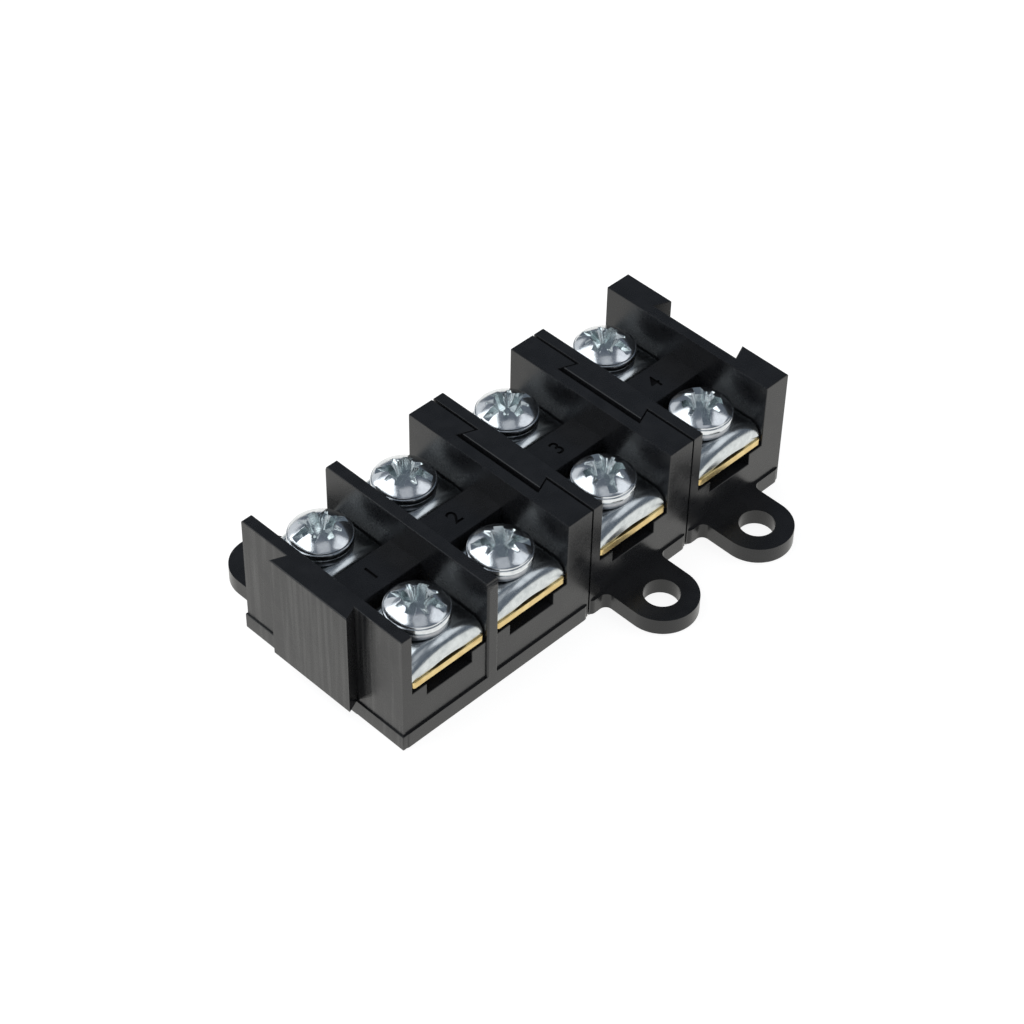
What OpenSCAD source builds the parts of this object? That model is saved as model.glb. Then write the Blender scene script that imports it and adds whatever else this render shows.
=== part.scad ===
// Barrier terminal strip for four poles, built up from moulded housings that slide into each other.
// A two-pole housing and two one-pole housings are joined by upright dovetails. In each pole a brass
// contact bar runs under a bridge, and at both its ends a screw with a spring washer presses a
// saddle-shaped clamp plate onto it. X runs along the strip, Y to the rear and Z up. The origin is the
// centre of the underside of the whole strip.

/* [Cells and walls] */
// Clear width of one cell, between its two walls
cell_w = 13.4; // [12.4:0.1:18]
// Height of the walls and of the barrier
wall_h = 20.4; // [19.6:0.2:30]
// Thickness of the thin end wall of a housing, which carries the dovetail tongue
tongue_wall_t = 1.8; // [1.4:0.1:3]
// Thickness of the barrier between the two poles of the two-pole housing
barrier_t = 2; // [1.4:0.1:3.6]
// How far the rounded ends of the barrier stand out of the front and the rear
barrier_proud = 0.35; // [0.32:0.01:0.6]
// Radius at the top of the barrier's front and rear ends
barrier_end_r = 1.2; // [0.4:0.1:3]
// Thickness of the web that is left between a cell and the dovetail groove
web_t = 1.85; // [1.2:0.05:3]

/* [Bridges and channels] */
// Depth of the bridge that crosses each cell, front to rear
bridge_d = 6; // [4:0.1:10]
// Thickness of the bridge above the slot for the contact bar
bridge_t = 4.1; // [2.5:0.1:5]
// Height of the seat under the bridge, on which the contact bar lies
seat_h = 10; // [9.4:0.1:12]
// How much lower the shoulders beside the bridge are than the seat
shoulder_drop = 0.5; // [0.1:0.05:0.6]
// Depth of the channel below the collars of the contact bar
channel_spare = 0.9; // [0.3:0.1:1.2]

/* [Base and ears] */
// Thickness of the base strip and of the mounting ears
base_h = 2.6; // [2:0.1:4]
// How far the base strip stands out of the front and the rear
base_proud = 0.3; // [0.1:0.02:0.3]
// Radius of the upright corners of the base strip
base_corner_r = 0.9; // [0.3:0.1:1.5]
// Diameter of the mounting hole in an ear
ear_hole_d = 5.3; // [4.3:0.1:6.5]
// Width of plastic round the mounting hole
ear_rim = 2.75; // [2:0.05:4]
// Distance from the housing's side to the centre of the mounting hole
ear_reach = 5.8; // [5:0.1:12]
// Radius of the fillets where an ear meets the base strip
ear_fillet_r = 1.1; // [0.4:0.1:2]

/* [Dovetails] */
// Width of the tongue at its root
tongue_w = 13.3; // [8:0.1:18]
// How far the tongue stands out of the end wall
tongue_l = 2.2; // [1.5:0.1:3.5]
// Slope of the flanks of tongue and groove, in degrees
flank_deg = 22.5; // [10:0.5:35]
// Gap between two joined housings
housing_gap = 0.3; // [0.1:0.05:0.5]
// Gap between the flanks of tongue and groove
flank_play = 0.12; // [0.05:0.01:0.25]
// How much deeper the groove is than the tongue is long
groove_spare = 0.45; // [0.1:0.05:1]

/* [Contact bars] */
// Thickness of a contact bar
bar_t = 1.1; // [0.8:0.1:2]
// Height of the threaded collars under the bar
collar_h = 1.6; // [0.8:0.1:2.2]
// Wall of the threaded collars
collar_wall = 1.3; // [0.8:0.1:1.8]
// Radius of the bar's corners
bar_corner_r = 0.6; // [0.2:0.1:1.5]

/* [Clamp plates] */
// Length of a clamp plate, from its inner lip to its outer lip
plate_l = 11.6; // [10.2:0.1:16]
// Thickness of the plate's sheet
plate_t = 1; // [0.6:0.05:1.4]
// Height of the plate, from the feet of its lips to its crest
plate_h = 3.65; // [3.2:0.05:5]
// How much lower than the crest the two long sides of the saddle are
saddle_drop = 1.6; // [0.4:0.1:2]
// Outer radius of the bends at the two lips
bend_r = 2; // [1.4:0.1:2.2]
// Width of the shallow arch in the foot of each lip
arch_w = 7; // [4:0.1:10]
// Height of that arch
arch_h = 0.45; // [0.2:0.05:0.9]

/* [Screws and washers] */
// Thread diameter of the terminal screws
thread_d = 5; // [4:0.1:5.4]
// Length of a screw under its head
screw_l = 12; // [9.5:0.5:13]
// Diameter of the pan head
head_d = 9.3; // [8.4:0.1:10.4]
// Height of the pan head
head_h = 2.9; // [2.4:0.1:4]
// Height of the straight rim of the head
head_rim_h = 1.1; // [0.6:0.1:1.6]
// Width of the driver slot
slot_w = 1.2; // [0.8:0.1:1.6]
// Depth of the driver slot
slot_depth = 1.3; // [0.8:0.1:1.8]
// Span of the cross recess, tip to tip
cross_w = 6; // [3.6:0.1:6.6]
// Span of the cross recess at its floor
cross_root = 2; // [1.2:0.1:3]
// Width of one wing of the cross recess
wing_w = 1.5; // [0.8:0.1:1.8]
// Depth of the cross recess
cross_depth = 2.1; // [1.2:0.1:2.4]
// Thickness of a spring washer, pressed flat
washer_t = 1; // [0.8:0.1:1.6]
// Radial width of a spring washer
washer_wall = 1.9; // [1.2:0.1:2.2]
// Width of the split in a spring washer
washer_split = 0.8; // [0.3:0.1:1.5]

/* [Clearances] */
// Gap between a contact bar and each cell wall
bar_side_gap = 0.15; // [0.05:0.05:0.5]
// Gap between a contact bar and the bridge above it
bar_top_gap = 0.2; // [0.1:0.05:0.5]
// How far the ends of a contact bar lie behind the ends of the walls
bar_end_inset = 0.1; // [0:0.05:1]
// Gap between a clamp plate and each cell wall
plate_side_gap = 0.2; // [0.1:0.05:0.5]
// Gap between a clamp plate and the bridge
plate_bridge_gap = 0.65; // [0.2:0.05:1]
// How far the outer lip of a clamp plate lies behind the ends of the walls
plate_end_inset = 0.35; // [0:0.05:1]
// Gap between faces that press on each other when a screw is tight
seat_gap = 0.04; // [0.02:0.01:0.1]
// Running fit of the thread in its collar, on the radius
thread_gap = 0.05; // [0.02:0.01:0.1]
// Gap round the thread in the plate and in the washer, on the radius
shank_gap = 0.2; // [0.1:0.05:0.4]
// Gap round the collars in the channel
collar_gap = 0.3; // [0.1:0.05:0.6]
// Gap round the screw's tip in its pocket, and below it
pocket_gap = 0.5; // [0.3:0.1:0.8]

/* [Hidden] */
$fn = 64;
POLES = [1, 2, 3, 4];
SIDES = ["front", "rear"];
function names(part) = [for (p = POLES, s = SIDES) str(part, "_", p, "_", s)];

sliver = 0.01;        // overlap of joined solids, and how far cutters pass a face
spread = tan(flank_deg);

// Sizes along Y: bridge, clamp plates and end gaps make up the depth of the housing
body_d = bridge_d + 2 * (plate_bridge_gap + plate_l + plate_end_inset);
screw_y = (bridge_d + plate_l) / 2 + plate_bridge_gap;
ear_y = body_d / 2 + ear_reach;
ear_r = ear_hole_d / 2 + ear_rim;

// Sizes along X: each housing is a thin wall, its cells with barriers between, and a grooved wall
groove_d = tongue_l + groove_spare;
groove_wall_t = web_t + groove_d;
cell_pitch = cell_w + barrier_t;
function housing_l(cells) = tongue_wall_t + cells * cell_pitch - barrier_t + groove_wall_t;
double_l = housing_l(2);
single_l = housing_l(1);
strip_l = double_l + 2 * (single_l + housing_gap);
near_end = -(strip_l - tongue_l) / 2;
starts = [near_end, near_end + double_l + housing_gap, near_end + double_l + single_l + 2 * housing_gap];
first_cell = tongue_wall_t + cell_w / 2;
pole_x = [
    starts[0] + first_cell,
    starts[0] + first_cell + cell_pitch,
    starts[1] + first_cell,
    starts[2] + first_cell
];

// Heights: the bar lies on its seat, the plate on the bar, then washer and screw head
shoulder_h = seat_h - shoulder_drop;
channel_floor = seat_h - collar_h - channel_spare;
bar_top = seat_h + bar_t;
bridge_top = bar_top + bar_top_gap + bridge_t;
plate_foot = bar_top + seat_gap;
plate_top = plate_foot + plate_h;
head_foot = plate_top + washer_t + seat_gap;
tip_h = head_foot - screw_l;

// Fits round the thread
thread_r = thread_d / 2 - thread_gap;
collar_r = thread_d / 2 + collar_wall;
channel_w = 2 * (collar_r + collar_gap);
washer_bore_r = thread_d / 2 + shank_gap / 2;
plate_w = cell_w - 2 * plate_side_gap;
bar_w = cell_w - 2 * bar_side_gap;
bar_l = body_d - 2 * bar_end_inset;

// Angle of each screw's slot, front and rear of the four poles
slot_turn = [[117, 167], [142, 125], [63, 176], [54, 105]];

// ---- shapes that repeat ----

module box(low, high) {
    translate(low) cube(high - low);
}

// Upright block with its four corners rounded
module rounded_block(low, high, r) {
    box([low[0] + r, low[1], low[2]], [high[0] - r, high[1], high[2]]);
    box([low[0], low[1] + r, low[2]], [high[0], high[1] - r, high[2]]);
    for (x = [low[0] + r, high[0] - r], y = [low[1] + r, high[1] - r])
        translate([x, y, low[2]]) cylinder(r = r, h = high[2] - low[2]);
}

// Block whose two top edges, front and rear, are rounded
module round_top(low, high, r) {
    difference() {
        box(low, high);
        for (side = [0, 1]) translate([0, low[1] + high[1], 0] * side) mirror([0, side, 0]) difference() {
            box([low[0] - 1, low[1] - 1, high[2] - r], [high[0] + 1, low[1] + r, high[2] + 1]);
            translate([low[0] - 2, low[1] + r, high[2] - r]) rotate([0, 90, 0])
                cylinder(r = r, h = high[0] - low[0] + 4);
        }
    }
}

// Fills the corner between an ear's straight side and the base strip
module ear_fillet() {
    difference() {
        box([-sliver, -sliver, 0], [ear_fillet_r, ear_fillet_r, base_h]);
        translate([ear_fillet_r, ear_fillet_r, -1]) cylinder(r = ear_fillet_r, h = base_h + 2);
    }
}

// Mounting ear centred on x, on the front (side -1) or on the rear (side 1)
module ear(x, side) {
    side_y = body_d / 2 + base_proud;
    translate([x, 0, 0]) mirror([0, side > 0 ? 0 : 1, 0]) {
        box([-ear_r, body_d / 2 - 1, 0], [ear_r, ear_y, base_h]);
        translate([0, ear_y, 0]) cylinder(r = ear_r, h = base_h);
        translate([ear_r, side_y, 0]) ear_fillet();
        translate([-ear_r, side_y, 0]) mirror([1, 0, 0]) ear_fillet();
    }
}

// Plan of a dovetail: narrow at x = 0 and wider towards -x
module dovetail(w, l, h) {
    linear_extrude(h) polygon([
        [0, -w / 2],
        [0, w / 2],
        [-l, w / 2 + l * spread],
        [-l, -w / 2 - l * spread]
    ]);
}

module tongue() {
    root = 1;    // part of the tongue that is buried in its wall
    translate([root, 0, 0]) dovetail(tongue_w - 2 * root * spread, tongue_l + root, wall_h);
}

module groove() {
    mouth = 1;   // part of the cutter that passes the end face
    play = 2 * flank_play / cos(flank_deg);
    mouth_w = tongue_w + 2 * (housing_gap - mouth) * spread + play;
    translate([mouth, 0, -1]) dovetail(mouth_w, groove_d + mouth, wall_h + 2);
}

// What is taken out of one cell: the open top, the slot for the bar and the channel under it
module cell_cut() {
    reach = body_d / 2 + base_proud + 1;
    half = cell_w / 2;
    for (side = [-1, 1]) mirror([0, side > 0 ? 0 : 1, 0]) {
        box([-half, bridge_d / 2, shoulder_h], [half, reach, wall_h + 1]);
        translate([0, screw_y, tip_h - pocket_gap]) cylinder(d = thread_d + 2 * pocket_gap, h = channel_floor);
    }
    box([-half, -bridge_d, bridge_top], [half, bridge_d, wall_h + 1]);
    box([-half, -bridge_d, seat_h], [half, bridge_d, bar_top + bar_top_gap]);
    box([-channel_w / 2, -reach, channel_floor], [channel_w / 2, reach, seat_h + sliver]);
}

module barrier() {
    end_y = body_d / 2 + barrier_proud;
    intersection() {
        rounded_block([0, -end_y, 0], [barrier_t, end_y, wall_h], barrier_proud);
        round_top([-1, -end_y, -1], [barrier_t + 1, end_y, wall_h], barrier_end_r);
    }
}

// One moulding with its cells, starting at x = 0; ears is a list of [cell, side]
module housing(cells, ears) {
    length = housing_l(cells);
    front = body_d / 2;
    difference() {
        union() {
            box([0, -front, 0], [length, front, wall_h]);
            rounded_block([0, -front - base_proud, 0], [length, front + base_proud, base_h], base_corner_r);
            tongue();
            for (e = ears) ear(first_cell + e[0] * cell_pitch, e[1]);
        }
        for (c = [0:cells - 1]) translate([first_cell + c * cell_pitch, 0, 0]) cell_cut();
        translate([length, 0, 0]) groove();
        for (e = ears) translate([first_cell + e[0] * cell_pitch, e[1] * ear_y, -1])
            cylinder(d = ear_hole_d, h = base_h + 2);
    }
    if (cells > 1) for (c = [1:cells - 1])
        translate([tongue_wall_t + c * cell_pitch - barrier_t, 0, 0]) barrier();
}

// ---- the nodes ----

module housing_double() {
    color([0.10, 0.10, 0.11]) translate([starts[0], 0, 0]) housing(2, [[0, 1]]);
}

module housing_single(start) {
    color([0.13, 0.13, 0.14]) translate([start, 0, 0]) housing(1, [[0, -1]]);
}

module contact_bar(pole) {
    color([0.80, 0.67, 0.38]) translate([pole_x[pole - 1], 0, 0]) difference() {
        union() {
            rounded_block([-bar_w / 2, -bar_l / 2, seat_h], [bar_w / 2, bar_l / 2, bar_top], bar_corner_r);
            for (side = [-1, 1]) translate([0, side * screw_y, seat_h - collar_h])
                cylinder(r = collar_r, h = collar_h + sliver);
        }
        for (side = [-1, 1]) translate([0, side * screw_y, seat_h - collar_h - 1])
            cylinder(d = thread_d, h = collar_h + bar_t + 2);
    }
}

// Puts its children at a terminal: over the screw's axis, with the front lip towards -Y
module at_terminal(pole, side) {
    translate([pole_x[pole - 1], side == "front" ? -screw_y : screw_y, 0]) children();
}

// Section of the saddle along Y: x is the distance from the axis that its roof is turned about
module saddle_outline(top, half_l, low, r) {
    translate([low, r - half_l]) square([top - low, 2 * (half_l - r)]);
    translate([low, -half_l]) square([top - r - low, 2 * half_l]);
    for (side = [-1, 1]) translate([top - r, side * (half_l - r)]) circle(r = r);
}

// Solid saddle: its roof and the bends at both lips are turned about an axis along Y below the bar
module saddle(half_w, inset, foot) {
    roof_r = (pow(plate_w / 2, 2) + pow(saddle_drop, 2)) / (2 * saddle_drop);
    half_l = plate_l / 2 - inset;
    intersection() {
        translate([0, 0, plate_top - roof_r]) rotate([90, 0, 0]) rotate_extrude($fn = 180)
            saddle_outline(roof_r - inset, half_l, roof_r - plate_h - 2, bend_r - inset);
        box([-half_w, -plate_l, foot], [half_w, plate_l, plate_top + 1]);
    }
}

module clamp_plate(pole, side) {
    foot_r = (pow(arch_w / 2, 2) + pow(arch_h, 2)) / (2 * arch_h);
    color([0.78, 0.80, 0.82]) at_terminal(pole, side) difference() {
        saddle(plate_w / 2, 0, plate_foot);
        saddle(plate_w / 2 + 1, plate_t, plate_foot - 1);
        translate([0, 0, plate_foot - 1]) cylinder(r = thread_d / 2 + shank_gap, h = plate_h + 2);
        translate([0, plate_l / 2 + 1, plate_foot + arch_h - foot_r]) rotate([90, 0, 0])
            cylinder(r = foot_r, h = plate_l + 2, $fn = 180);
    }
}

module spring_washer(pole, side) {
    outer_r = washer_bore_r + washer_wall;
    color([0.72, 0.74, 0.76]) at_terminal(pole, side) translate([0, 0, plate_top]) difference() {
        cylinder(r = outer_r, h = washer_t);
        translate([0, 0, -1]) cylinder(r = washer_bore_r, h = washer_t + 2);
        rotate([0, 0, 200]) rotate([25, 0, 0])
            translate([0, -washer_split / 2, -washer_t]) cube([outer_r + 1, washer_split, 3 * washer_t]);
    }
}

// Half outline of the pan head: flat bearing face, straight rim and a low dome of one radius
module head_outline() {
    r = head_d / 2;
    rise = head_h - head_rim_h;
    dome_r = (pow(r, 2) + pow(rise, 2)) / (2 * rise);
    steps = 12;
    sweep = asin(r / dome_r);
    edge = 0.15;                  // small bevel at the bearing face
    polygon(concat(
        [[0, 0], [r - edge, 0], [r, edge]],
        [for (i = [0:steps]) let (a = sweep * (1 - i / steps))
            [dome_r * sin(a), head_h - dome_r + dome_r * cos(a)]]
    ));
}

// Four wings that a cone cuts off, so that each runs out towards its tip
module cross_recess() {
    over = 0.5;                   // how far the cutter passes the top of the head
    slope = (cross_w - cross_root) / 2 / cross_depth;
    intersection() {
        union() {
            box([-cross_w, -wing_w / 2, -cross_depth], [cross_w, wing_w / 2, over]);
            box([-wing_w / 2, -cross_w, -cross_depth], [wing_w / 2, cross_w, over]);
        }
        translate([0, 0, -cross_depth])
            cylinder(r1 = cross_root / 2, r2 = cross_w / 2 + over * slope, h = cross_depth + over);
    }
}

module terminal_screw(pole, side) {
    tip_bevel = 0.6;
    turn = slot_turn[pole - 1][side == "front" ? 0 : 1];
    color([0.80, 0.82, 0.84]) at_terminal(pole, side) {
        difference() {
            translate([0, 0, head_foot]) rotate_extrude() head_outline();
            translate([0, 0, head_foot + head_h]) rotate([0, 0, turn]) {
                box([-head_d, -slot_w / 2, -slot_depth], [head_d, slot_w / 2, 1]);
                cross_recess();
            }
        }
        translate([0, 0, tip_h + tip_bevel]) cylinder(r = thread_r, h = screw_l - tip_bevel + sliver);
        translate([0, 0, tip_h]) cylinder(r1 = thread_r - tip_bevel, r2 = thread_r, h = tip_bevel);
    }
}

housing_double();
for (i = [1, 2])
    housing_single(starts[i]);
for (p = POLES)
    contact_bar(p);
for (p = POLES, s = SIDES) {
    clamp_plate(p, s);
    spring_washer(p, s);
    terminal_screw(p, s);
}
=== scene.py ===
import math
import bmesh
import bpy
from mathutils import Matrix, Vector


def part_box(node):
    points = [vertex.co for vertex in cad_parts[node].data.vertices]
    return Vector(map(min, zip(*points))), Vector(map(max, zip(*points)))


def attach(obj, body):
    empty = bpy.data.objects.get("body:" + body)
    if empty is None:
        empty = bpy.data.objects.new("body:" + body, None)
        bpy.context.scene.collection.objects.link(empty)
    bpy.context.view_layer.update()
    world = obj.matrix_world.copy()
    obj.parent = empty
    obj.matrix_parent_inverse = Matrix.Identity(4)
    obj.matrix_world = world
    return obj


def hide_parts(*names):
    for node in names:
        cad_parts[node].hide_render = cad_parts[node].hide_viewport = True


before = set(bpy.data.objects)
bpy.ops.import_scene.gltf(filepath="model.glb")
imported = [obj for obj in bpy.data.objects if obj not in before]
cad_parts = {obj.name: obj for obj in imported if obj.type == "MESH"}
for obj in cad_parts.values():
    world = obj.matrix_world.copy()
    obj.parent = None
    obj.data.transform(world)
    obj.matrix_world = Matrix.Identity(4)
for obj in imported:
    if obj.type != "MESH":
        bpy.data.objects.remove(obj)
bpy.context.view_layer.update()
bpy.context.scene.view_settings.view_transform = "Standard"
mm = 0.001
nodeGap = 0.0005 * mm     # corners of a copied node closer than this are one
weldGap = 0.002 * mm      # the same on new pieces
cutGap = 0.001 * mm       # corners this close to a flat cut lie on it
flatAngle = 0.4           # in degrees, faces that turn less than this are one
foldAngle = 32            # in degrees, an edge that turns more than this is sharp
poles = [1, 2, 3, 4]
sides = ["front", "rear"]
moduleOfPole = {1: "double_module", 2: "double_module", 3: "module_3", 4: "module_4"}


# small helpers for working on one piece at a time

def objectMode():
    bpy.ops.object.mode_set(mode="OBJECT")


def deselectAll():
    if bpy.context.object and bpy.context.object.mode != "OBJECT":
        objectMode()
    bpy.ops.object.select_all(action="DESELECT")


def pick(*pieces):
    deselectAll()
    for piece in pieces:
        piece.select_set(True)
    bpy.context.view_layer.objects.active = pieces[0]


def editMode(piece, action="SELECT"):
    pick(piece)
    bpy.ops.object.mode_set(mode="EDIT")
    bpy.ops.mesh.select_all(action=action)


def cleanUp(piece):
    editMode(piece)
    bpy.ops.mesh.remove_doubles(threshold=weldGap)
    bpy.ops.mesh.normals_make_consistent(inside=False)
    objectMode()


def placeInMesh(piece):
    pick(piece)
    bpy.ops.object.transform_apply(location=True, rotation=True, scale=True)


def applyModifiers(piece):
    pick(piece)
    for modifier in list(piece.modifiers):
        bpy.ops.object.modifier_apply(modifier=modifier.name)


def joined(pieces, name):
    pick(*pieces)
    bpy.ops.object.join()
    piece = bpy.context.object
    piece.name = name
    piece.data.name = name
    return piece


def smoothed(piece, degrees=foldAngle):
    pick(piece)
    bpy.ops.object.shade_smooth()
    editMode(piece)
    mesh = bmesh.from_edit_mesh(piece.data)
    for edge in mesh.edges:
        edge.smooth = edge.calc_face_angle(0) < math.radians(degrees)
    bmesh.update_edit_mesh(piece.data)
    objectMode()
    weighted = piece.modifiers.new("flatFaces", "WEIGHTED_NORMAL")    # keeps the large faces flat
    weighted.keep_sharp = True
    applyModifiers(piece)


def newBevel(piece, width, limit):
    bevel = piece.modifiers.new("softEdges", "BEVEL")
    bevel.width = width * mm
    bevel.segments = 2
    bevel.limit_method = limit
    bevel.use_clamp_overlap = False
    return bevel


def softenEdges(piece, width, degrees=foldAngle, clamped=False):
    bevel = newBevel(piece, width, "ANGLE")
    bevel.angle_limit = math.radians(degrees)
    bevel.use_clamp_overlap = clamped
    bevel.miter_outer = "MITER_ARC"
    applyModifiers(piece)


# only long edges above a height, so that the low strip and the small rounds stay as they are

def softenLongEdges(piece, width, above, shortest):
    pick(piece)
    mesh = bmesh.new()
    mesh.from_mesh(piece.data)
    weight = mesh.edges.layers.float.new("bevel_weight_edge")
    for edge in mesh.edges:
        high = min(vertex.co.z for vertex in edge.verts) > above * mm
        sharp = edge.is_convex and edge.calc_face_angle(0) > math.radians(foldAngle)
        if high and sharp and edge.calc_length() > shortest * mm:
            edge[weight] = 1.0
    mesh.to_mesh(piece.data)
    mesh.free()
    newBevel(piece, width, "WEIGHT")
    applyModifiers(piece)


def keepUnder(piece, height):
    for vertex in piece.data.vertices:
        vertex.co.z = min(vertex.co.z, height)


def copyOfNode(nodeName, pieceName):
    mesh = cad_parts[nodeName].data.copy()
    piece = bpy.data.objects.new(pieceName, mesh)
    bpy.context.scene.collection.objects.link(piece)
    mesh.name = pieceName
    mesh.materials.clear()
    editMode(piece)
    bpy.ops.mesh.remove_doubles(threshold=nodeGap)
    bpy.ops.mesh.dissolve_limited(angle_limit=math.radians(flatAngle))
    objectMode()
    return piece


def copied(piece, name):
    twin = piece.copy()
    twin.data = piece.data.copy()
    twin.name = name
    twin.data.name = name
    bpy.context.scene.collection.objects.link(twin)
    return twin


def block(low, high):    # between two corners, in millimetres
    middle = [(first + last) / 2 * mm for first, last in zip(low, high)]
    deselectAll()
    bpy.ops.mesh.primitive_cube_add(size=1, location=middle)
    piece = bpy.context.object
    piece.scale = [(last - first) * mm for first, last in zip(low, high)]
    placeInMesh(piece)
    return piece


# the faces that the cutter leaves get the last of the finishes

def cut(piece, cutter, finishes, selfCrossing=False, operation="DIFFERENCE"):
    for finish in finishes:
        cutter.data.materials.append(finish)
    for face in cutter.data.polygons:
        face.material_index = len(finishes) - 1
    boolean = piece.modifiers.new("cut", "BOOLEAN")
    boolean.operation = operation
    boolean.solver = "EXACT"
    boolean.use_self = selfCrossing
    boolean.object = cutter
    applyModifiers(piece)
    bpy.data.objects.remove(cutter)


def finishPiece(piece, materials, body, slot, *nodes):
    while len(piece.data.materials) < len(materials):
        piece.data.materials.append(None)
    for place, material in enumerate(materials):
        piece.data.materials[place] = material
    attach(piece, body)
    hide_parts(*nodes)


camera = {
    "place": (-196.420, -190.699, 273.750),    # in millimetres
    "azimuth": -45.729,
    "elevation": 44.109,
    "roll": 1.210,
    "lens": 95.58,
    "sensor": 36.0,
    "clip": (0.01, 50),    # in metres
}
deselectAll()
bpy.ops.object.camera_add()
cameraPiece = bpy.context.object
cameraPiece.data.lens = camera["lens"]
cameraPiece.data.sensor_width = camera["sensor"]
cameraPiece.data.clip_start, cameraPiece.data.clip_end = camera["clip"]
cameraPiece.matrix_world = (
    Matrix.Translation(Vector(camera["place"]) * mm)
    @ Matrix.Rotation(math.radians(camera["azimuth"]), 4, "Z")
    @ Matrix.Rotation(math.radians(90 - camera["elevation"]), 4, "X")
    @ Matrix.Rotation(math.radians(camera["roll"]), 4, "Z")
)
bpy.context.scene.camera = cameraPiece
print("camera placed")


# small helpers for the finishes

def newMaterial(name):
    material = bpy.data.materials.new(name)
    material.use_nodes = True
    nodes = material.node_tree.nodes
    return material, nodes, material.node_tree.links, nodes["Principled BSDF"]


def inMillimetres(nodes, links, scale=(1, 1, 1)):
    coords = nodes.new("ShaderNodeTexCoord")
    mapping = nodes.new("ShaderNodeMapping")
    perMetre = [1000 * factor for factor in scale]    # as Object coordinates are in metres
    mapping.inputs["Scale"].default_value = perMetre
    links.new(coords.outputs["Object"], mapping.inputs["Vector"])
    return mapping.outputs["Vector"]


def noise(nodes, links, vector, scale, detail=4, roughness=0.55):
    texture = nodes.new("ShaderNodeTexNoise")
    texture.inputs["Scale"].default_value = scale
    texture.inputs["Detail"].default_value = detail
    texture.inputs["Roughness"].default_value = roughness
    links.new(vector, texture.inputs["Vector"])
    return texture.outputs["Fac"]


def shaded(nodes, links, value, dark, light, darkTo=0.3, lightFrom=0.7):
    colours = nodes.new("ShaderNodeValToRGB")
    stops = zip(colours.color_ramp.elements, (darkTo, lightFrom), (dark, light))
    for element, position, colour in stops:
        element.position = position
        element.color = (*colour, 1)
    links.new(value, colours.inputs["Fac"])
    return colours.outputs["Color"]


def ranged(nodes, links, value, low, high, fromLow=0.3, fromHigh=0.7):
    mapRange = nodes.new("ShaderNodeMapRange")
    mapRange.inputs["From Min"].default_value = fromLow
    mapRange.inputs["From Max"].default_value = fromHigh
    mapRange.inputs["To Min"].default_value = low
    mapRange.inputs["To Max"].default_value = high
    links.new(value, mapRange.inputs["Value"])
    return mapRange.outputs["Result"]


def maths(nodes, links, operation, first, second=None):
    node = nodes.new("ShaderNodeMath")
    node.operation = operation
    links.new(first, node.inputs[0])
    if second:
        links.new(second, node.inputs[1])
    return node.outputs[0]


def bump(nodes, links, height, distance, strength, under=None):
    node = nodes.new("ShaderNodeBump")
    node.inputs["Distance"].default_value = distance * mm
    node.inputs["Strength"].default_value = strength
    links.new(height, node.inputs["Height"])
    if under:
        links.new(under, node.inputs["Normal"])
    return node.outputs["Normal"]


plastic = {
    "dark": (0.0075, 0.0080, 0.0092),
    "light": (0.0115, 0.0122, 0.0138),
    "scuffed": (0.060, 0.060, 0.059),
    "clouds": (0.35, 5),           # a pattern's scale, detail and, where given, roughness
    "streaks": (1.2, 4),
    "grain": (7, 3, 0.6),
    "drawn": (0.8, 0.8, 0.03),     # the streaks run upright
    "marks": (0.48, 0.72),
    "markedEnd": (-35.8, -35.3),
    "markedFacing": (0.85, 0.95),
    "rough": (0.22, 0.32),
    "uneven": (-0.03, 0.05),
    "waves": (0.03, 0.4),          # depth in millimetres, and strength
    "pores": (0.003, 0.3),
    "ior": 1.5,
}


def blackMoulding():
    material, nodes, links, shader = newMaterial("blackMoulding")
    vector = inMillimetres(nodes, links)
    drawn = inMillimetres(nodes, links, plastic["drawn"])
    clouds = noise(nodes, links, vector, *plastic["clouds"])
    streaks = noise(nodes, links, drawn, *plastic["streaks"])
    grain = noise(nodes, links, vector, *plastic["grain"])
    # upright drag marks, on the open end of the strip
    coords = nodes.new("ShaderNodeTexCoord")
    place = nodes.new("ShaderNodeSeparateXYZ")
    links.new(vector, place.inputs["Vector"])
    facing = nodes.new("ShaderNodeSeparateXYZ")
    links.new(coords.outputs["Normal"], facing.inputs["Vector"])
    ends = ranged(nodes, links, place.outputs["X"], 1, 0, *plastic["markedEnd"])
    turned = maths(nodes, links, "ABSOLUTE", facing.outputs["X"])
    upright = ranged(nodes, links, turned, 0, 1, *plastic["markedFacing"])
    ends = maths(nodes, links, "MULTIPLY", ends, upright)
    marks = ranged(nodes, links, streaks, 0, 1, *plastic["marks"])
    colour = nodes.new("ShaderNodeMixRGB")
    black = shaded(nodes, links, clouds, plastic["dark"], plastic["light"])
    links.new(maths(nodes, links, "MULTIPLY", ends, marks), colour.inputs["Fac"])
    links.new(black, colour.inputs["Color1"])
    colour.inputs["Color2"].default_value = (*plastic["scuffed"], 1)
    links.new(colour.outputs["Color"], shader.inputs["Base Color"])
    rough = ranged(nodes, links, clouds, *plastic["rough"])
    uneven = ranged(nodes, links, grain, *plastic["uneven"])
    links.new(maths(nodes, links, "ADD", rough, uneven), shader.inputs["Roughness"])
    waves = bump(nodes, links, clouds, *plastic["waves"])
    links.new(bump(nodes, links, grain, *plastic["pores"], waves), shader.inputs["Normal"])
    shader.inputs["IOR"].default_value = plastic["ior"]
    return material


# near-black colours for the sunk digits: painted shade in the engraving
paintedDigitShade = {
    "dark": (0.002, 0.002, 0.003),
    "light": (0.005, 0.005, 0.006),
    "grain": (5, 3),
    "rough": (0.6, 0.8),
    "pores": (0.01, 0.5),
    "specular": 0.15,
}


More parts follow.
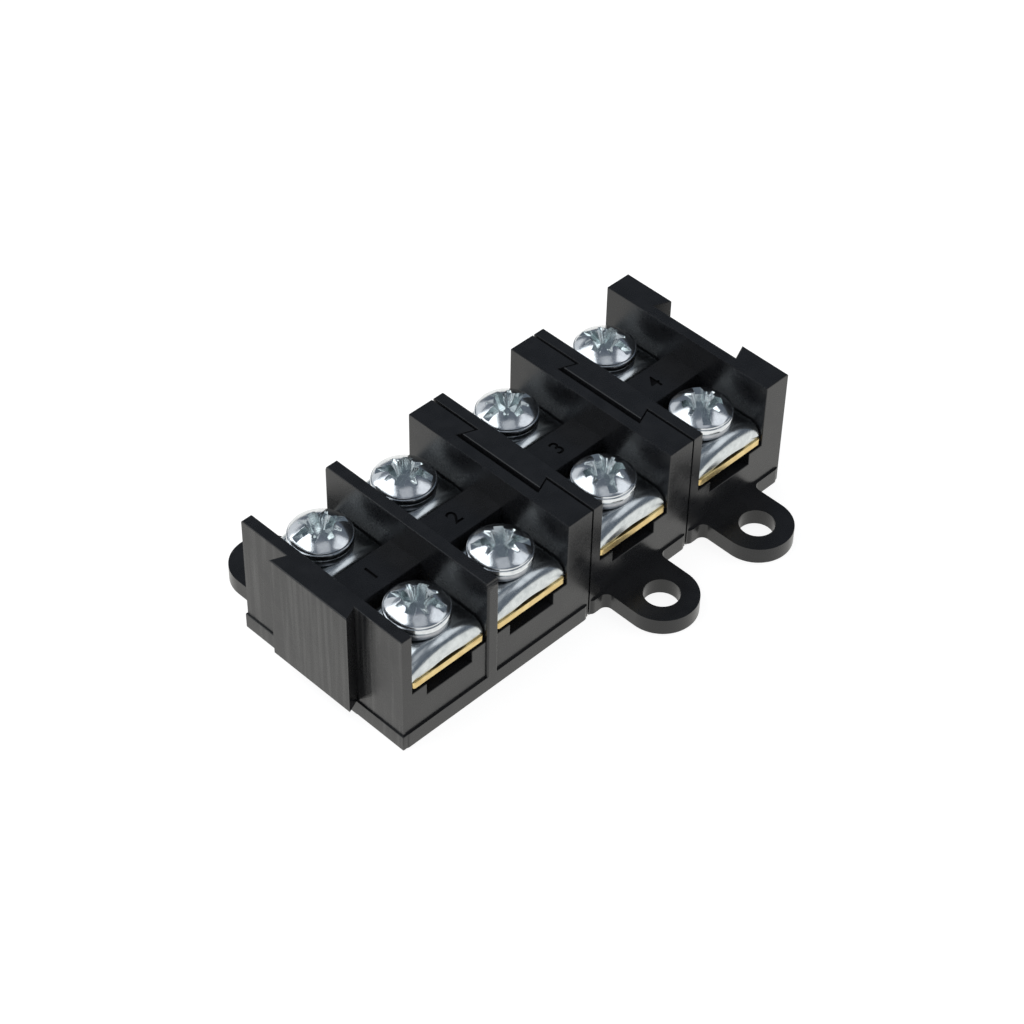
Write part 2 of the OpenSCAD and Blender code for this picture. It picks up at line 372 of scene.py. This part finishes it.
def digitShade():    # the sunk digits are painted darker than the face around them, as painted shade
    material, nodes, links, shader = newMaterial("digitShade")
    grain = noise(nodes, links, inMillimetres(nodes, links), *paintedDigitShade["grain"])
    black = shaded(nodes, links, grain, paintedDigitShade["dark"], paintedDigitShade["light"])
    links.new(black, shader.inputs["Base Color"])
    links.new(ranged(nodes, links, grain, *paintedDigitShade["rough"]), shader.inputs["Roughness"])
    links.new(bump(nodes, links, grain, *paintedDigitShade["pores"]), shader.inputs["Normal"])
    shader.inputs["Specular IOR Level"].default_value = paintedDigitShade["specular"]
    return material


metal = {    # what all metal finishes share
    "clouds": (0.8, 5),
    "grain": (4, 0.65),    # detail and roughness, as its scale is the finish's own
    "lines": (3, 2),
    "brightFrom": 0.65,
    "waveStrength": 0.4,
    "lineStrength": 0.5,
    "grainToLines": 3,     # the grain is this many times shallower than the lines
}


def metalFinish(name, finish):
    material, nodes, links, shader = newMaterial(name)
    vector = inMillimetres(nodes, links)
    drawn = inMillimetres(nodes, links, finish["drawn"])
    clouds = noise(nodes, links, vector, *metal["clouds"])
    grain = noise(nodes, links, vector, finish["grain"], *metal["grain"])
    lines = noise(nodes, links, drawn, *metal["lines"])
    colour = shaded(nodes, links, clouds, finish["dull"], finish["bright"],
                    lightFrom=metal["brightFrom"])
    links.new(colour, shader.inputs["Base Color"])
    links.new(ranged(nodes, links, grain, *finish["rough"]), shader.inputs["Roughness"])
    grainDepth = finish["lines"] / metal["grainToLines"]
    low = bump(nodes, links, clouds, finish["waves"], metal["waveStrength"])
    middle = bump(nodes, links, lines, finish["lines"], metal["lineStrength"], low)
    top = bump(nodes, links, grain, grainDepth, metal["lineStrength"], middle)
    links.new(top, shader.inputs["Normal"])
    shader.inputs["Metallic"].default_value = 1.0
    return material


moulding = blackMoulding()
sunkDigitShade = digitShade()
print("moulding finish made")


housing = {
    "edge": 0.16,
    "shortestEdge": 0.4,
    "tongueLength": 2.2,
    "stripTop": 2.6,
    "stripProud": 0.25,
    "stripSide": 15.898,
    "aboveStrip": 0.05,         # edges are softened from this far above the strip
    "tongueCut": (5, 12, 1),    # how far it reaches out, to each side and down
    "barrierCut": (2, 1, 1),    # how far it reaches along the strip, out and down
    "bandHalf": 15.85,          # the strip on the open end
    "bandDepth": 0.6,
    "bandEdge": 0.12,
    "bridgeGap": 0.2,           # between the bar and the bridge above it
    "bridgeThickness": 4.1,
    "digitHeight": 2.5,
    "digitFont": 1.38,          # size of the font for a digit of height 1
    "digitDepth": 0.35,
    "digitBolder": 0.04,
    "digitShift": 0.6,
    "digitSteps": 4,
}


def digitCutter(pole):
    low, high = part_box(f"contact_bar_{pole}")
    middle = (low.x + high.x) / 2 + housing["digitShift"] * mm
    bridgeTop = high.z + (housing["bridgeGap"] + housing["bridgeThickness"]) * mm
    deselectAll()
    bpy.ops.object.text_add(location=(middle, 0, bridgeTop))
    text = bpy.context.object
    text.data.body = str(pole)
    text.data.size = housing["digitHeight"] * mm * housing["digitFont"]
    text.data.align_x = "CENTER"
    text.data.align_y = "CENTER"
    text.data.extrude = housing["digitDepth"] * mm
    text.data.offset = housing["digitBolder"] * mm
    text.data.resolution_u = housing["digitSteps"]
    bpy.ops.object.convert(target="MESH")
    placeInMesh(text)
    cleanUp(text)
    return text


# the tongue stops on top of the base strip, and the strip goes round the open end

def shapeEnd(shell, node, openEnd):
    strip = housing["stripTop"]
    out, side, down = housing["tongueCut"]
    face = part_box(node)[0].x / mm + housing["tongueLength"]
    ledge = face - housing["stripProud"]
    cut(shell, block((ledge - out, -side, -down), (ledge, side, strip)), [moulding])
    if openEnd:
        half = housing["bandHalf"]
        band = block((ledge, -half, 0), (face + housing["bandDepth"], half, strip))
        softenEdges(band, housing["bandEdge"])
        cut(shell, band, [moulding], operation="UNION")


def trimBarrierFoot(shell, pole):    # the barrier ends on the strip, which passes below it
    nearBar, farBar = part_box(f"contact_bar_{pole}"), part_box(f"contact_bar_{pole + 1}")
    middle = (nearBar[0].x + farBar[1].x) / 2 / mm
    half, out, down = housing["barrierCut"]
    side = housing["stripSide"]
    for low, high in [(-side - out, -side), (side, side + out)]:
        foot = block((middle - half, low, -down), (middle + half, high, housing["stripTop"]))
        cut(shell, foot, [moulding])


def makeHousing(node, name, body, housingPoles):
    shell = copyOfNode(node, name)
    for finish in (moulding, sunkDigitShade):
        shell.data.materials.append(finish)
    shapeEnd(shell, node, 1 in housingPoles)
    for pole in housingPoles[:-1]:
        trimBarrierFoot(shell, pole)
    above = housing["stripTop"] + housing["aboveStrip"]
    softenLongEdges(shell, housing["edge"], above, housing["shortestEdge"])
    keepUnder(shell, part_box(node)[1].z)
    for pole in housingPoles:    # the strokes of a digit may cross
        # the faces each digit's cut leaves get the painted shade
        cut(shell, digitCutter(pole), [moulding, sunkDigitShade], selfCrossing=True)
    smoothed(shell)
    finishPiece(shell, [moulding, sunkDigitShade], body, "housing_plastic", node)


makeHousing("housing_double", "twoPoleMoulding", "double_module", [1, 2])
makeHousing("housing_single_3", "thirdPoleMoulding", "module_3", [3])
makeHousing("housing_single_4", "fourthPoleMoulding", "module_4", [4])
print("mouldings made")


bar = {
    "edge": 0.08,
    "underside": 9.95,    # the collars are below it, and are painted near-black as painted shade
    "bright": (0.86, 0.68, 0.33),
    "dull": (0.68, 0.49, 0.20),
    "rough": (0.24, 0.40),
    "grain": 5,
    "drawn": (0.3, 4, 1),
    "waves": 0.03,
    "lines": 0.008,
}
# the collars deep in the channel are painted near-black brass, as painted shade
paintedCollarShade = {
    "bright": (0.060, 0.045, 0.025),
    "dull": (0.035, 0.028, 0.018),
    "rough": (0.55, 0.75),
    "grain": 5,
    "drawn": (1, 1, 1),
    "waves": 0.03,
    "lines": 0.008,
}
plate = {
    "edge": 0.06,
    "bright": (0.73, 0.77, 0.78),
    "dull": (0.58, 0.62, 0.64),
    "rough": (0.22, 0.26),
    "grain": 2,
    "drawn": (0.2, 1.5, 1),
    "waves": 0.008,
    "lines": 0.0006,
}
washer = {
    "edge": 0.08,
    "bright": (0.50, 0.52, 0.55),
    "dull": (0.34, 0.36, 0.39),
    "rough": (0.25, 0.42),
    "grain": 6,
    "drawn": (1, 1, 4),
    "waves": 0.04,
    "lines": 0.006,
}
barBrass = metalFinish("barBrass", bar)
collarPaintedShade = metalFinish("collarPaintedShade", paintedCollarShade)
plateZinc = metalFinish("plateZinc", plate)
washerZinc = metalFinish("washerZinc", washer)


def dressedCopy(node, name, edge):
    piece = copyOfNode(node, name)
    softenEdges(piece, edge)
    smoothed(piece)
    return piece


for pole in poles:
    node = f"contact_bar_{pole}"
    piece = dressedCopy(node, f"contactBar.{pole}", bar["edge"])
    for face in piece.data.polygons:
        # faces below the bar's underside get the collar's painted shade
        face.material_index = 1 if face.center.z < bar["underside"] * mm else 0
    finishPiece(piece, [barBrass, collarPaintedShade], moduleOfPole[pole], "contact_brass", node)
    for side in sides:
        where = f"{pole}_{side}"
        node = f"clamp_plate_{where}"
        piece = dressedCopy(node, f"clampPlate.{where}", plate["edge"])
        finishPiece(piece, [plateZinc], f"clamp_{where}", "plate_steel", node)
        node = f"spring_washer_{where}"
        piece = dressedCopy(node, f"springWasher.{where}", washer["edge"])
        finishPiece(piece, [washerZinc], f"clamp_{where}", "washer_steel", node)
print("bars, plates and washers made")


screw = {
    "headRadius": 4.65,
    "headHeight": 2.9,
    "headSteps": 96,
    "rimHeight": 1.1,
    # inwards and up from the rim's lower edge, then inwards and down from its top
    "rimFoot": [(0.22, 0), (0.06, 0.06), (0, 0.22)],
    "rimLip": [(0, 0.2), (0.06, 0.07), (0.15, 0.03), (0.21, 0.08)],
    "domeInset": 0.22,
    "domeSteps": 14,
    "over": 0.4,             # how far the cutters stand above the head
    "slotOver": 1,
    "slotLength": 2.4,       # in head radii
    "slotWidth": 1.2,
    "slotDepth": 1.3,
    "crossSpan": 6.8,
    "crossRoot": 4.2,
    "crossDepth": 2.3,
    "wingWidth": 1.5,
    "wingRootWidth": 1.05,
    "wingFloor": 0.03,       # the wings end this far above the funnel's floor
    "funnelTop": 2.40,
    "funnelRoot": 1.10,
    "flutes": 30,
    "fluteDepth": 0.09,
    "fluteTurn": 2.3,        # no flute edge lies on a wing's edge
    "tickSpan": 7.0,
    "tickRoot": 5.6,
    "tickWidth": 1.6,
    "tickRootWidth": 0.06,
    "tickDepth": 1.0,
    "tickOver": 0.2,
    "edge": 0.045,
    "edgeAngle": 28,
    "smoothAngle": 30,
    "shankRadius": 2.45,
    "rootRadius": 2.05,
    "length": 12.0,
    "pitch": 0.8,
    "flank": (0.12, 0.5, 0.62),    # in pitches: the thread's rise, its crest's start and end
    "threadSteps": 32,
    "spareTurns": 3,         # cut off at both ends
    "turnsBelow": 1.5,
    "offCorners": 0.01,      # the end cuts miss every corner of the thread
    "threadInHead": 0.3,
    "turns": {
        "1_front": 117, "1_rear": 167, "2_front": 142, "2_rear": 125,
        "3_front": 63, "3_rear": 176, "4_front": 54, "4_rear": 105,
    },
    "bright": (0.82, 0.85, 0.87),
    "dull": (0.70, 0.73, 0.76),
    "rough": (0.14, 0.22),
    "grain": 5,
    "drawn": (1, 1, 1),
    "waves": 0.04,
    "lines": 0.003,
}
recess = {
    "bright": (0.84, 0.89, 0.89),
    "dull": (0.68, 0.73, 0.74),
    "rough": (0.14, 0.26),
    "grain": 5,
    "drawn": (2, 2, 0.4),
    "waves": 0.05,
    "lines": 0.010,
}
screwZinc = metalFinish("screwZinc", screw)
recessZinc = metalFinish("recessZinc", recess)


def outlinePiece(name, points):
    deselectAll()
    bpy.ops.mesh.primitive_plane_add(size=mm)
    piece = bpy.context.object
    piece.name = name
    editMode(piece)
    bpy.ops.mesh.merge(type="CENTER")
    bpy.ops.transform.translate(value=(points[0][0] * mm, 0, points[0][1] * mm))
    for start, end in zip(points, points[1:]):
        step = ((end[0] - start[0]) * mm, 0, (end[1] - start[1]) * mm)
        bpy.ops.mesh.extrude_region_move(TRANSFORM_OT_translate={"value": step})
    objectMode()
    return piece


def spunPiece(name, points, steps):
    piece = outlinePiece(name, points)
    editMode(piece)
    bpy.ops.mesh.spin(steps=steps, angle=2 * math.pi, center=(0, 0, 0), axis=(0, 0, 1))
    objectMode()
    cleanUp(piece)
    return piece


def headOutline():
    radius, height, rim = screw["headRadius"], screw["headHeight"], screw["rimHeight"]
    rise = height - rim
    domeRadius = (radius ** 2 + rise ** 2) / (2 * rise)
    sweep = math.asin((radius - screw["domeInset"]) / domeRadius)
    points = [(0, 0)]
    points += [(radius - inwards, up) for inwards, up in screw["rimFoot"]]
    points += [(radius - inwards, rim - down) for inwards, down in screw["rimLip"]]
    for step in range(screw["domeSteps"] + 1):
        angle = sweep * (1 - step / screw["domeSteps"])
        points.append((domeRadius * math.sin(angle), height - domeRadius * (1 - math.cos(angle))))
    return points


# the root is the length and width at the foot of a cutter that narrows downwards

def blockCutter(length, width, low, high, root=None, turn=0):
    piece = block((-length / 2, -width / 2, low), (length / 2, width / 2, high))
    if root:
        editMode(piece, "DESELECT")
        mesh = bmesh.from_edit_mesh(piece.data)
        for face in mesh.faces:
            face.select_set(face.normal.z < -0.9)    # the lower face
        bmesh.update_edit_mesh(piece.data)
        narrowed = (root[0] / length, root[1] / width, 1)
        bpy.ops.transform.resize(value=narrowed, center_override=(0, 0, 0))
        objectMode()
    piece.rotation_euler.z = math.radians(turn)
    placeInMesh(piece)
    return piece


def flutedFunnel():
    over, depth = screw["over"], screw["crossDepth"]
    slope = (screw["funnelTop"] - screw["funnelRoot"]) / depth
    deselectAll()
    bpy.ops.mesh.primitive_cone_add(
        vertices=2 * screw["flutes"],
        radius1=screw["funnelRoot"] * mm,
        radius2=(screw["funnelTop"] + over * slope) * mm,
        depth=(depth + over) * mm,
        location=(0, 0, (screw["headHeight"] + (over - depth) / 2) * mm),
    )
    piece = bpy.context.object
    placeInMesh(piece)
    editMode(piece, "DESELECT")
    mesh = bmesh.from_edit_mesh(piece.data)
    step = math.pi / screw["flutes"]
    for vertex in mesh.verts:    # every second corner goes inwards
        place = round(math.atan2(vertex.co.y, vertex.co.x) / step)
        vertex.select_set(place % 2 == 0)
    bmesh.update_edit_mesh(piece.data)
    inward = 1 - screw["fluteDepth"]
    bpy.ops.transform.resize(value=(inward, inward, 1), center_override=(0, 0, 0))
    objectMode()
    piece.rotation_euler.z = math.radians(screw["fluteTurn"])
    placeInMesh(piece)
    return piece


def screwThread():
    pitch, length = screw["pitch"], screw["length"]
    root, crest = screw["rootRadius"], screw["shankRadius"]
    rises, crestStart, crestEnd = [pitch * share for share in screw["flank"]]
    piece = outlinePiece("thread", [(root, 0), (root, rises), (crest, crestStart),
                                    (crest, crestEnd), (root, pitch)])
    winding = piece.modifiers.new("thread", "SCREW")
    winding.axis = "Z"
    winding.angle = 2 * math.pi
    winding.screw_offset = pitch * mm
    winding.iterations = int(length / pitch) + screw["spareTurns"]
    winding.steps = screw["threadSteps"]
    winding.render_steps = screw["threadSteps"]
    applyModifiers(piece)
    cleanUp(piece)    # closes the seam between one turn and the next
    editMode(piece)
    below = length + screw["turnsBelow"] * pitch + screw["offCorners"]
    bpy.ops.transform.translate(value=(0, 0, -below * mm))
    for height, facing in [(-length, -1), (screw["threadInHead"], 1)]:
        bpy.ops.mesh.select_all(action="SELECT")
        bpy.ops.mesh.bisect(plane_co=(0, 0, height * mm), plane_no=(0, 0, facing), use_fill=True,
                            clear_outer=True, threshold=cutGap)
    objectMode()
    cleanUp(piece)
    return piece


def makeScrew():
    top = screw["headHeight"]
    wingFloor = top - screw["crossDepth"] + screw["wingFloor"]
    wingRoot = (screw["crossRoot"], screw["wingRootWidth"])
    tickRoot = (screw["tickRoot"], screw["tickRootWidth"])
    head = spunPiece("terminalScrew", headOutline(), screw["headSteps"])
    thread = screwThread()
    finishes = [screwZinc, recessZinc]
    for part in (head, thread):
        for finish in finishes:
            part.data.materials.append(finish)
    cutters = [flutedFunnel()]
    for turn in (0, 90):
        cutters.append(blockCutter(screw["crossSpan"], screw["wingWidth"], wingFloor,
                                   top + screw["over"], wingRoot, turn))
        cutters.append(blockCutter(screw["tickSpan"], screw["tickWidth"], top - screw["tickDepth"],
                                   top + screw["tickOver"], tickRoot, turn + 45))
    cutters.append(blockCutter(screw["slotLength"] * screw["headRadius"], screw["slotWidth"],
                               top - screw["slotDepth"], top + screw["slotOver"]))
    for cutter in cutters:
        cut(head, cutter, finishes)
    softenEdges(head, screw["edge"], screw["edgeAngle"], clamped=True)
    piece = joined([head, thread], "terminalScrew")
    smoothed(piece, screw["smoothAngle"])
    return piece


pattern = makeScrew()
for where, turn in screw["turns"].items():
    node = f"terminal_screw_{where}"
    low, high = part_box(node)
    headFoot = high.z - screw["headHeight"] * mm
    piece = copied(pattern, f"terminalScrew.{where}")
    piece.location = ((low.x + high.x) / 2, (low.y + high.y) / 2, headFoot)
    piece.rotation_euler.z = math.radians(turn)
    placeInMesh(piece)
    finishPiece(piece, [screwZinc, recessZinc], f"screw_{where}", "screw_steel", node)
bpy.data.objects.remove(pattern)
print("screws made")


white = (1, 1, 1)
studio = {
    "floorSize": 12,            # in metres, as all of the studio
    "floorHeight": -0.0002,
    "floorWhite": 0.80,         # as it lights the strip
    "floorSeen": 0.85,          # its glow for the camera, and the part that takes shadows
    "floorShadowed": 0.30,
    "floorMirrored": (1.00, 0.99, 0.96),
    "surround": (0.120, 0.140, 0.170),
    "fill": (0.50, 0.50, 0.51),
    "lampDistance": 0.8,
    "lamps": {
        "leftBox": {"towards": (-0.5, 0.5, 0.707), "size": (0.85, 0.75), "radiance": 1.5,
                    "colour": (0.95, 0.98, 1.0)},
        "rightBox": {"towards": (0.49, -0.49, 0.72), "size": (0.50, 0.46), "radiance": 0.80,
                     "colour": (0.97, 0.98, 1.0)},
        "frontBox": {"towards": (-0.19, -0.33, 0.93), "size": (0.40, 0.40), "radiance": 0.35,
                     "colour": white},
        "nearBox": {"towards": (-0.65, -0.62, 0.42), "size": (0.90, 0.66), "radiance": 0.40,
                    "colour": white},
        "lowLeftBox": {"towards": (-0.10, 0.95, 0.28), "size": (0.60, 0.36), "radiance": 0.55,
                       "colour": white},
    },
}


def colourShader(nodes, kind, colour, strength=None):
    shader = nodes.new(kind)
    shader.inputs["Color"].default_value = (*colour, 1)
    if strength is not None:
        shader.inputs["Strength"].default_value = strength
    return shader.outputs[0]


def chosen(nodes, links, rays, first, second):    # the second shader, for the named rays
    path = nodes.new("ShaderNodeLightPath")
    fraction = path.outputs[rays[0]]
    for ray in rays[1:]:
        fraction = maths(nodes, links, "MAXIMUM", fraction, path.outputs[ray])
    mix = nodes.new("ShaderNodeMixShader")
    links.new(fraction, mix.inputs["Fac"])
    links.new(first, mix.inputs[1])
    links.new(second, mix.inputs[2])
    return mix.outputs[0]


def paleFloor():
    material, nodes, links, shader = newMaterial("paleFloor")
    nodes.remove(shader)
    pale = colourShader(nodes, "ShaderNodeBsdfDiffuse", [studio["floorWhite"]] * 3)
    mirrored = colourShader(nodes, "ShaderNodeEmission", studio["floorMirrored"], 1.0)
    glow = colourShader(nodes, "ShaderNodeEmission", white, studio["floorSeen"])
    shadowed = colourShader(nodes, "ShaderNodeBsdfDiffuse", [studio["floorShadowed"]] * 3)
    seen = nodes.new("ShaderNodeAddShader")
    links.new(glow, seen.inputs[0])
    links.new(shadowed, seen.inputs[1])
    surface = chosen(nodes, links, ["Is Glossy Ray", "Is Transmission Ray"], pale, mirrored)
    surface = chosen(nodes, links, ["Is Camera Ray"], surface, seen.outputs[0])
    links.new(surface, nodes["Material Output"].inputs["Surface"])
    return material


def studioWorld():
    world = bpy.data.worlds.new("studio")
    world.use_nodes = True
    nodes, links = world.node_tree.nodes, world.node_tree.links
    fill = colourShader(nodes, "ShaderNodeBackground", studio["fill"])
    surround = colourShader(nodes, "ShaderNodeBackground", studio["surround"])
    backdrop = colourShader(nodes, "ShaderNodeBackground", white)
    lit = chosen(nodes, links, ["Is Glossy Ray"], fill, surround)
    lit = chosen(nodes, links, ["Is Camera Ray"], lit, backdrop)
    links.new(lit, nodes["World Output"].inputs["Surface"])
    return world


def softbox(name, box):
    width, height = box["size"]
    towards = Vector(box["towards"]).normalized()
    deselectAll()
    bpy.ops.object.light_add(type="AREA", location=towards * studio["lampDistance"])
    lamp = bpy.context.object
    lamp.name = name
    lamp.data.shape = "RECTANGLE"
    lamp.data.size = width
    lamp.data.size_y = height
    lamp.data.energy = box["radiance"] * math.pi * width * height
    lamp.data.color = box["colour"]
    lamp.rotation_mode = "QUATERNION"
    lamp.rotation_quaternion = towards.to_track_quat("Z", "Y")
    lamp.visible_camera = False


deselectAll()
bpy.ops.mesh.primitive_plane_add(size=studio["floorSize"], location=(0, 0, studio["floorHeight"]))
floor = bpy.context.object
floor.name = "floor"
floor.data.materials.append(paleFloor())
bpy.context.scene.world = studioWorld()
for name, box in studio["lamps"].items():
    softbox(name, box)
print("studio made")

bpy.context.view_layer.update()
